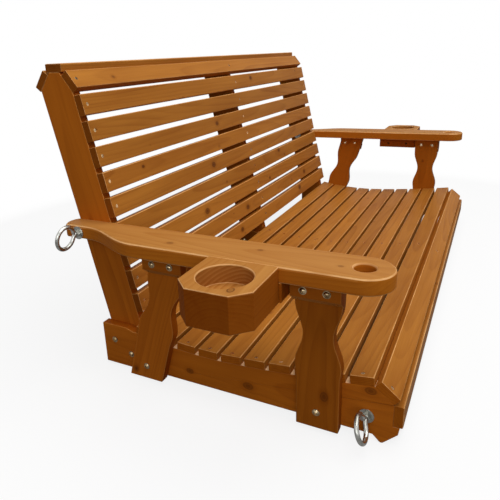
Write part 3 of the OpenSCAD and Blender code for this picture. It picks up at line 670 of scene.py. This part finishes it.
# Back slats are numbered from the top; the knots that catch the eye are placed
backPlan = {
    "timber": "backSlat", "grain": (1, 0, 0), "facing": (0, -1, 0),
    "radius": 2.2 * mm, "backShare": 0.25, "endShare": 0.45, "lift": 0.06,
    "knotSpread": 0.2, "knotSize": 2.5 * mm, "spacing": 4.5 * mm,
}
backKnots = {
    2: [((0.138, 0.248, 0.554), 5 * mm)],
    4: [((-0.139, 0.224, 0.450), 5 * mm)],
    5: [((-0.500, 0.215, 0.406), 3 * mm)],
    6: [((-0.209, 0.203, 0.352), 6 * mm)],
    7: [((0.233, 0.194, 0.313), 5 * mm)],
    8: [((-0.295, 0.180, 0.251), 6.5 * mm), ((0.116, 0.179, 0.245), 3.5 * mm)],
    9: [((-0.076, 0.169, 0.202), 6 * mm), ((0.423, 0.169, 0.201), 6 * mm)],
    10: [((0.347, 0.160, 0.159), 7 * mm), ((-0.139, 0.159, 0.154), 5.5 * mm)],
}
rollPlan = {**backPlan, "radius": 3 * mm, "backShare": 0.6}

for count, name in numbered("back_slat_"):
    finishBoard(name, {**backPlan, "seed": 20 + count, "knots": backKnots.get(count, ())})
finishBoard("cap_slat", {**rollPlan, "seed": 31, "facing": (0, 0, 1)})
finishBoard("rear_slat", {**rollPlan, "seed": 32, "facing": (0, 1, 0)})
print("back slats finished")

# Rails, supports, posts and cleats are sawn from flat stock, outlines in the YZ plane
framePlan = {
    "timber": "frame", "grain": (0, 1, 0), "radius": 1.5 * mm, "box": 0.0,
    "spacing": 5 * mm, "knotSpread": 0.19, "knotSize": 5 * mm, "knotDepth": 0.7,
}
supportLean = math.radians(12.6)    # backwards, as the rear post leans forwards
postLean = math.radians(16.3)
supportPlan = {**framePlan, "grain": (0, math.sin(supportLean), math.cos(supportLean))}
postPlan = {**framePlan, "radius": 1.8 * mm}
cleatPlan = {**framePlan, "radius": 1.2 * mm, "box": 1.0, "wearAndHighlight": 0.5}
outwardSign = {"left": -1, "right": 1}
# painted light and shade: the left rear post is made lighter, the right one darker
rearPostPaintedLight = {"left": 0.2, "right": -0.05}

for count, (side, sign) in enumerate(outwardSign.items()):
    outward = {"facing": (sign, 0, 0)}
    # the rails get a painted highlight on their tops between the slats, ahead of the back
    finishBoard(f"side_rail_{side}", {
        **framePlan, **outward, "seed": 40 + count, "lift": 0.2, "gapHighlightAhead": 0.15,
        "knots": [((sign * 0.6475, -0.3085, 0.0957), 6 * mm), ((sign * 0.6475, -0.088, 0.0404), 6.5 * mm),
                  ((sign * 0.6475, 0.037, 0.038), 5 * mm)],
    })
    finishBoard(f"back_support_{side}", {**supportPlan, **outward, "seed": 42 + count, "lift": 0.26})
    finishBoard(f"front_post_{side}", {
        **postPlan, **outward, "seed": 44 + count, "grain": (0, 0, 1), "lift": -0.08, "wearAndHighlight": 0.45,
        "knots": [((sign * 0.6675, -0.237, 0.0758), 6 * mm)],
    })
    finishBoard(f"rear_post_{side}", {
        **postPlan, **outward, "seed": 46 + count, "lift": rearPostPaintedLight[side], "wearAndHighlight": 0.6,
        "grain": (0, -math.sin(postLean), math.cos(postLean)),
    })
    finishBoard(f"front_cleat_{side}", {**cleatPlan, **outward, "seed": 48 + count})
    finishBoard(f"rear_cleat_{side}", {**cleatPlan, **outward, "seed": 50 + count})
    finishBoard(f"cup_bearer_{side}", {**framePlan, "seed": 52 + count, "facing": (0, 0, 1)})
finishBoard("centre_rail", {**framePlan, "seed": 54, "facing": (1, 0, 0)})
finishBoard("centre_back_support", {**supportPlan, "seed": 55, "facing": (1, 0, 0)})
print("frame boards finished")

# Arms and cup blocks have generously rounded edges all round
armPlan = {
    "timber": "arm", "grain": (0, 1, 0), "facing": (0, 0, 1), "box": 0.0,
    "radius": 5 * mm, "backShare": 0.7, "spacing": 5.5 * mm, "knotSpread": 0.3, "knotSize": 3 * mm,
    "knotDepth": 0.55,
}
blockPlan = {
    "timber": "cup", "grain": (1, 0, 0), "facing": (0, 0, 1), "box": 0.0,
    "radius": 2.5 * mm, "backShare": 0.7, "spacing": 6 * mm, "knotSpread": 0.4, "knotSize": 3 * mm,
    "knotHollow": 0.6, "bore": 42.6 * mm,
}

for count, (side, sign) in enumerate(outwardSign.items()):
    finishBoard(f"arm_{side}", {
        **armPlan, "seed": 60 + count,
        "knots": [((sign * 0.6886, 0.0322, 0.321), 4 * mm), ((sign * 0.6645, -0.1266, 0.321), 3 * mm),
                  ((sign * 0.6821, -0.2626, 0.321), 2.8 * mm)],
    })
    finishBoard(f"cup_block_{side}", {
        **blockPlan, "seed": 62 + count, "pith": (0, sign * 0.02, -0.045),
        "knots": [((sign * 0.8163, -0.1482, 0.321), 4.8 * mm)],
    })
print("arms and cup blocks finished")


# Fasteners: bright plating, and the dull film where it has weathered; on the screws the near-black dull
# also paints the shade of their recesses
steelTones = {
    "plated_steel": {"bright": (0.66, 0.66, 0.62), "dull": (0.36, 0.36, 0.32)},
    "bolt_steel": {"bright": (0.66, 0.52, 0.32), "dull": (0.20, 0.13, 0.06)},
    "cap_steel": {"bright": (0.88, 0.76, 0.54), "dull": (0.52, 0.40, 0.24)},
    # the screws' near-black dull is partly painted shade of the recess
    "screw_steel": {"bright": (0.85, 0.62, 0.36), "dull": (0.12, 0.07, 0.035)},
    "seat_screw_steel": {"bright": (0.85, 0.56, 0.28), "dull": (0.20, 0.11, 0.045)},
}
steelPieces = {
    "bolt_steel": ["support_bolts", "post_bolts", "cleat_bolts"],
    "cap_steel": ["frame_nuts"],
    "screw_steel": ["back_screws", "arm_screws", "cup_screws"],
    "seat_screw_steel": ["seat_screws"],
    "plated_steel": ["eye_washers"],
}
steelPlan = {"relief": 0.3, "reliefDepth": 0.05 * mm, "weld": 0.01 * mm, "sharp": 40,
             "radius": 0.2 * mm, "segments": 2}


def makeSteel(name, tones):
    material = bpy.data.materials.new(name)
    tree = clearTree(material)
    source = addNode(tree, "ShaderNodeTexCoord").outputs
    look = useGroup(tree, platedSteel, {
        "Vector": source["Object"], "Bright": [*tones["bright"], 1], "Dull": [*tones["dull"], 1],
    })
    relief = addNode(tree, "ShaderNodeBump", {
        "Height": look["Height"], "Strength": steelPlan["relief"], "Distance": steelPlan["reliefDepth"],
    })
    metal = addNode(tree, "ShaderNodeBsdfPrincipled", {
        "Base Color": look["Color"], "Roughness": look["Roughness"], "Metallic": 1.0,
        "Normal": relief.outputs[0],
    })
    addNode(tree, "ShaderNodeOutputMaterial", {"Surface": metal.outputs[0]})
    return material


steel = {name: makeSteel(name, tones) for name, tones in steelTones.items()}


def finishSteel(name, kind):
    piece = nodes[name]
    weld = piece.modifiers.new("weld", "WELD")
    weld.merge_threshold = steelPlan["weld"]
    soften = piece.modifiers.new("soften", "BEVEL")
    soften.limit_method = "ANGLE"
    soften.angle_limit = math.radians(steelPlan["sharp"])
    soften.width = steelPlan["radius"]
    soften.segments = steelPlan["segments"]
    settle = piece.modifiers.new("settle", "WEIGHTED_NORMAL")
    settle.keep_sharp = False
    piece.data.materials.clear()
    piece.data.materials.append(steel[kind])


for kind, names in steelPieces.items():
    for name in names:
        finishSteel(name, kind)


# An eye bolt is one wire with a rolled thread, bent into an eye that closes on its own neck.
# It is made along +Z from the wood's outer face, the thread below and the ring's middle at reach.
eyePlan = {
    "wire": 8 * mm, "ring": 22.2 * mm, "reach": 35.1 * mm, "sides": 24,
    "turns": {"front": -17.5, "rear": 10.0},    # degrees about its own axis
    "washer": 2 * mm, "tail": 3 * mm,           # the tail stands out of the inner nut
    "thread": {
        "length": 24 * mm, "pitch": 1.25 * mm, "depth": 0.55 * mm, "ringsPerTurn": 8,
        "tip": 0.82, "tipLength": 1.5 * mm,     # the tip's share of the radius, and its taper
        "runOut": 2,                            # turns over which the thread fades away
    },
    "bend": {
        "foot": 0.5 * mm, "neckShares": (0.4, 0.8, 1.0), "neckDrop": 4.95 * mm,
        "rise": 3.5 * mm, "steps": 6, "ringSteps": 60,
        "opening": 17, "closing": 9,            # degrees left open beside the neck
    },
}
nutPlan = {
    "flats": 13 * mm, "height": 6.5 * mm, "hole": 8.2 * mm, "chamfer": 0.5 * mm, "sides": 48,
    "turned": 0.97, "cone": 30, "sharp": 25,    # degrees
}


def circleAngles(count):
    return [math.tau * side / count for side in range(count)]


def threadRings(plan, start):
    # Rings of the threaded end, each point as deep as the helix is there
    thread = plan["thread"]
    length, pitch, tip = thread["length"], thread["pitch"], thread["tip"]
    steps = round(length / pitch * thread["ringsPerTurn"])
    rings = []
    for k in range(steps + 1):
        done = length * k / steps
        z = start + done
        taper = min(1, done / thread["tipLength"])
        fading = min(1, (length - done) / (thread["runOut"] * pitch))
        ring = []
        for angle in circleAngles(plan["sides"]):
            tooth = abs(((z / pitch - angle / math.tau) % 1) * 2 - 1)
            radius = plan["wire"] / 2 - thread["depth"] * tooth * fading
            radius *= tip + (1 - tip) * taper
            ring.append(Vector((radius * math.cos(angle), radius * math.sin(angle), z)))
        rings.append(ring)
    return rings


def eyePath(plan):
    # The wire's middle line: up the neck, out to the side and round the ring back to the neck
    def onRing(angle):
        return Vector((plan["ring"] * math.sin(angle), 0, plan["reach"] - plan["ring"] * math.cos(angle)))

    bend = plan["bend"]
    neck = plan["reach"] - plan["ring"] - bend["neckDrop"]
    opening = math.radians(bend["opening"])
    turning = math.tau - math.radians(bend["closing"]) - opening
    points = [Vector((0, 0, bend["foot"]))]
    points += [Vector((0, 0, neck * share)) for share in bend["neckShares"]]
    for k in range(1, bend["steps"]):
        t = k / bend["steps"]
        straight = Vector((0, 0, neck + bend["rise"] * t))
        points.append(straight.lerp(onRing(opening), t * t * (3 - 2 * t)))
    steps = bend["ringSteps"]
    points += [onRing(opening + turning * k / steps) for k in range(steps + 1)]
    return points


def wireRings(points, plan):
    # Rings along the bent wire; it bends in one plane, so y stays its side vector
    radius = plan["wire"] / 2
    sideways = Vector((0, 1, 0))
    rings = []
    for k, point in enumerate(points):
        ahead = (points[min(k + 1, len(points) - 1)] - points[max(k - 1, 0)]).normalized()
        outward = sideways.cross(ahead)
        rings.append([
            point + radius * (math.cos(angle) * outward + math.sin(angle) * sideways)
            for angle in circleAngles(plan["sides"])
        ])
    return rings


def skinLoops(build, loops, closed=False):
    following = loops[1:] + loops[:1] if closed else loops[1:]
    count = len(loops[0])
    for lower, upper in zip(loops, following):
        for side in range(count):
            after = (side + 1) % count
            build.faces.new((lower[side], lower[after], upper[after], upper[side]))


def finishMesh(build, name):
    bmesh.ops.recalc_face_normals(build, faces=build.faces)
    mesh = bpy.data.meshes.new(name)
    build.to_mesh(mesh)
    build.free()
    mesh.polygons.foreach_set("use_smooth", [True] * len(mesh.polygons))
    mesh.materials.append(steel["plated_steel"])
    return mesh


def placePiece(mesh, node):
    piece = bpy.data.objects.new(mesh.name, mesh)
    bpy.context.scene.collection.objects.link(piece)
    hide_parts(node)
    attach(piece, "root")


def eyeSeat(name, sign, plan):
    # The eye bolt's middle, and the X of the outer and the inner wood face and of its inner end
    low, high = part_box(name)
    outer, inner = (low.x, high.x) if sign < 0 else (high.x, low.x)
    face = outer - sign * (plan["reach"] + plan["ring"] + plan["wire"] / 2)
    back = inner + sign * (plan["tail"] + nutPlan["height"] + plan["washer"])
    return {"middle": (low + high) / 2, "face": face, "back": back, "inner": inner}


def makeEyeBolt(name, sign, turn, seat, plan):
    points = eyePath(plan)
    rings = threadRings(plan, -abs(seat["inner"] - seat["face"])) + wireRings(points, plan)
    build = bmesh.new()
    loops = [[build.verts.new(point) for point in ring] for ring in rings]
    skinLoops(build, loops)
    build.faces.new(list(reversed(loops[0])))
    build.faces.new(loops[-1])
    mesh = finishMesh(build, name + "_wire")
    move = Matrix.Translation((0, seat["middle"].y, seat["middle"].z)) @ Matrix.Scale(sign, 4, (1, 0, 0))
    move = move @ Matrix.Translation((abs(seat["face"]), 0, 0)) @ Matrix.Rotation(math.radians(90), 4, "Y")
    mesh.transform(move @ Matrix.Rotation(math.radians(turn), 4, "Z"))
    if sign < 0:
        mesh.flip_normals()
    placePiece(mesh, name)


def nutRings(plan):
    # Closed loops round a hexagon nut whose corners are turned off by a cone
    flat = plan["flats"] / 2
    bore = plan["hole"] / 2
    top = plan["height"]
    chamfer = plan["chamfer"]
    turned = flat * plan["turned"]
    sixth = math.tau / 6
    rings = [[] for _ in range(8)]
    for angle in circleAngles(plan["sides"]):
        fromFlat = (angle + sixth / 2) % sixth - sixth / 2
        corner = flat / math.cos(fromFlat)
        drop = (corner - turned) * math.tan(math.radians(plan["cone"]))
        outline = [
            (bore, chamfer), (bore + chamfer, 0), (turned, 0), (corner, drop),
            (corner, top - drop), (turned, top), (bore + chamfer, top), (bore, top - chamfer),
        ]
        for ring, (radius, z) in zip(rings, outline):
            ring.append(Vector((radius * math.cos(angle), radius * math.sin(angle), z)))
    return rings


def makeNuts(plan, seats):
    # Each seat is the middle of a nut's inner face and the way it faces along X
    build = bmesh.new()
    for seat, outward in seats:
        move = Matrix.Translation(seat) @ Matrix.Rotation(math.radians(90 * outward), 4, "Y")
        skinLoops(build, [[build.verts.new(move @ point) for point in ring] for ring in nutRings(plan)],
                  closed=True)
    mesh = finishMesh(build, "eye_nuts_turned")
    mesh.set_sharp_from_angle(angle=math.radians(plan["sharp"]))
    placePiece(mesh, "eye_nuts")


nutSeats = []
for where, turn in eyePlan["turns"].items():
    for side, sign in outwardSign.items():
        name = f"{where}_eye_bolt_{side}"
        seat = eyeSeat(name, sign, eyePlan)
        makeEyeBolt(name, sign, turn, seat, eyePlan)
        middle = seat["middle"]
        nutSeats.append(((seat["face"] + sign * eyePlan["washer"], middle.y, middle.z), sign))
        nutSeats.append(((seat["back"] - sign * eyePlan["washer"], middle.y, middle.z), -sign))
makeNuts(nutPlan, nutSeats)
print("hardware finished")


# Soft studio light from above and in front, with a weak one from the left
lightPlan = {
    "key": {"place": (-0.3, -1.0, 3.4), "aim": (0, 0, 0.2), "size": 4.2, "power": 118},
    "fill": {"place": (-3.2, -0.9, 1.4), "aim": (0, 0, 0.3), "size": 2.0, "power": 15},
}


def makeLight(name, plan):
    data = bpy.data.lights.new(name, "AREA")
    data.shape = "DISK"
    data.size = plan["size"]
    data.energy = plan["power"]
    lamp = bpy.data.objects.new(name, data)
    aim = Vector(plan["aim"]) - Vector(plan["place"])
    lamp.location = plan["place"]
    lamp.rotation_euler = aim.to_track_quat("-Z", "Y").to_euler()
    bpy.context.scene.collection.objects.link(lamp)


for name, plan in lightPlan.items():
    makeLight(name, plan)

# Gloss is how much of the white surroundings reflections see; strength and bounce light the seat
skyPlan = {"strength": 0.17, "gloss": 0.8}
floorPlan = {
    "half": 9, "cells": 24, "drop": 0.2 * mm,
    "gloss": 0.15, "bounce": 0.16, "pale": 0.95, "rough": 0.9,
    "veil": 0.85, "near": 0.75, "far": 1.5,     # the paper is lit from behind, fully from far on
    "below": (0.34, 0.15, 0.05),                # the warm shadow that shows between the slats
    "side": 0.64, "front": -0.36, "rear": 0.17, "soft": 0.08, "frontSoft": 0.02,
}


def grey(level):
    return (level, level, level, 1)


def seenDirectly(tree, gloss):
    # 1 for the rays that show the surroundings
    path = addNode(tree, "ShaderNodeLightPath").outputs
    mirrored = calc(tree, "MULTIPLY", path["Is Glossy Ray"], gloss)
    seen = calc(tree, "MAXIMUM", path["Is Camera Ray"], mirrored)
    return calc(tree, "MAXIMUM", seen, path["Is Transmission Ray"])


def makeSky(plan):
    world = bpy.data.worlds.new("paleRoom")
    tree = clearTree(world)
    shade = mixColour(tree, seenDirectly(tree, plan["gloss"]), grey(plan["strength"]), grey(1))
    sky = addNode(tree, "ShaderNodeBackground", {"Color": shade, "Strength": 1.0})
    addNode(tree, "ShaderNodeOutputWorld", {"Surface": sky.outputs[0]})
    bpy.context.scene.world = world


def belowSeat(tree, source, plan):
    # 1 on the patch of floor that the seat keeps in shadow
    parts = splitVector(tree, source)
    soft = plan["soft"]
    beside = fade(tree, calc(tree, "ABSOLUTE", parts[0]), plan["side"], plan["side"] - soft)
    ahead = fade(tree, parts[1], plan["front"], plan["front"] + plan["frontSoft"])
    behind = fade(tree, parts[1], plan["rear"], plan["rear"] - soft)
    return calc(tree, "MULTIPLY", beside, calc(tree, "MULTIPLY", ahead, behind))


def makePaper(plan):
    material = bpy.data.materials.new("palePaper")
    tree = clearTree(material)
    shown = seenDirectly(tree, plan["gloss"])
    source = addNode(tree, "ShaderNodeTexCoord").outputs["Object"]
    below = belowSeat(tree, source, plan)
    ground = mixColour(tree, below, grey(plan["pale"]), (*plan["below"], 1))
    paper = addNode(tree, "ShaderNodeBsdfPrincipled", {
        "Base Color": mixColour(tree, shown, grey(plan["bounce"]), ground),
        "Roughness": plan["rough"], "Specular IOR Level": 0.0,
    })
    glow = addNode(tree, "ShaderNodeEmission", {"Color": grey(1), "Strength": 1.0})
    lifted = calc(tree, "MULTIPLY_ADD", below, -plan["veil"], plan["veil"])
    far = fade(tree, calcVector(tree, "LENGTH", source), plan["near"], plan["far"])
    veil = calc(tree, "MULTIPLY", calc(tree, "MAXIMUM", far, lifted), shown)
    blend = addNode(tree, "ShaderNodeMixShader", {0: veil, 1: paper.outputs[0], 2: glow.outputs[0]})
    addNode(tree, "ShaderNodeOutputMaterial", {"Surface": blend.outputs[0]})
    return material


def makeFloor(plan):
    build = bmesh.new()
    bmesh.ops.create_grid(build, x_segments=plan["cells"], y_segments=plan["cells"], size=plan["half"])
    mesh = bpy.data.meshes.new("studioFloor")
    build.to_mesh(mesh)
    build.free()
    mesh.materials.append(makePaper(plan))
    floor = bpy.data.objects.new("studioFloor", mesh)
    floor.location.z = -plan["drop"]
    bpy.context.scene.collection.objects.link(floor)


makeSky(skyPlan)
makeFloor(floorPlan)
bpy.context.scene.view_settings.view_transform = "Standard"
print("light, floor and sky made")
